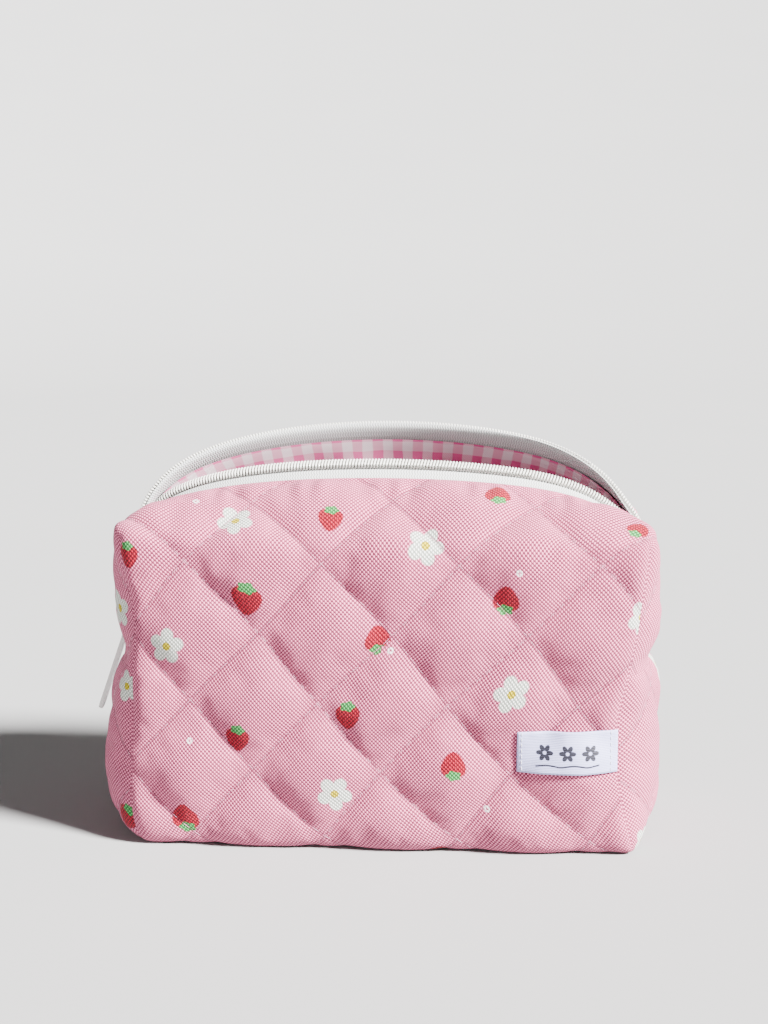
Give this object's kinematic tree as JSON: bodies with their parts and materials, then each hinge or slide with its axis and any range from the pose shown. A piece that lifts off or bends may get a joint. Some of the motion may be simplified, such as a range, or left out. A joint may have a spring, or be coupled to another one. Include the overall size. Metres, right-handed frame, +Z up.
{
  "type": "makeup bag",
  "caption": "Quilted boxy fabric makeup bag with a zip over its top, open, in printed canvas with a gingham lining and a side label.",
  "frame": {"origin": "centre of the flat base, on the surface the bag stands on", "axes": "+X to the bag's right as its front is looked at, -Y out of the front face, +Z up"},
  "size_m": [0.2468, 0.1047, 0.1756],
  "materials": {
    "printed_canvas": "pink cotton duck printed with strawberries and daisies",
    "wadding": "polyester wadding",
    "gingham_lining": "pink and white woven gingham",
    "zip_tape": "white woven polyester tape",
    "zip_coil": "white nylon coil",
    "zip_hardware": "white enamel on cast zinc",
    "label_satin": "white woven satin"
  },
  "bodies": {
    "bag": {"canvas_bottom": "printed_canvas", "canvas_front": "printed_canvas", "canvas_left_end": "printed_canvas", "canvas_rear": "printed_canvas", "canvas_right_end": "printed_canvas", "lining_bottom": "gingham_lining", "lining_front": "gingham_lining", "lining_left_end": "gingham_lining", "lining_rear": "gingham_lining", "lining_right_end": "gingham_lining", "side_label": "label_satin", "wadding_bottom": "wadding", "wadding_front": "wadding", "wadding_left_end": "wadding", "wadding_rear": "wadding", "wadding_right_end": "wadding", "zip_coil_front_left": "zip_coil", "zip_coil_front_right": "zip_coil", "zip_coil_rear_left": "zip_coil", "zip_coil_rear_right": "zip_coil", "zip_tape_front_left": "zip_tape", "zip_tape_front_right": "zip_tape", "zip_tape_rear_left": "zip_tape", "zip_tape_rear_right": "zip_tape"},
    "front_mouth": {"canvas_front_top": "printed_canvas", "lining_front_top": "gingham_lining", "wadding_front_top": "wadding", "zip_coil_front_top": "zip_coil", "zip_tape_front_top": "zip_tape"},
    "rear_mouth": {"canvas_rear_top": "printed_canvas", "lining_rear_top": "gingham_lining", "wadding_rear_top": "wadding", "zip_coil_rear_top": "zip_coil", "zip_tape_rear_top": "zip_tape"},
    "slider": {"zip_slider_body": "zip_hardware", "zip_slider_cap": "zip_hardware"},
    "pull_tab": {"zip_pull_tab": "zip_hardware"}
  },
  "joints": [
    {"name": "front_mouth_fold", "type": "hinge", "parent": "bag", "child": "front_mouth", "pos_m": [0, -0.05, 0.131], "axis": [1, 0, 0], "range_deg": [-41, 40]},
    {"name": "rear_mouth_fold", "type": "hinge", "parent": "bag", "child": "rear_mouth", "pos_m": [0, 0.05, 0.131], "axis": [-1, 0, 0], "range_deg": [-64, 23]},
    {"name": "slider_travel", "type": "slide", "parent": "bag", "child": "slider", "axis": [0, 0, 1], "range_m": [0, 0.024]},
    {"name": "pull_tab_swing", "type": "hinge", "parent": "slider", "child": "pull_tab", "pos_m": [-0.1177, 0, 0.0855], "axis": [0, 1, 0], "range_deg": [-6, 160]}
  ]
}
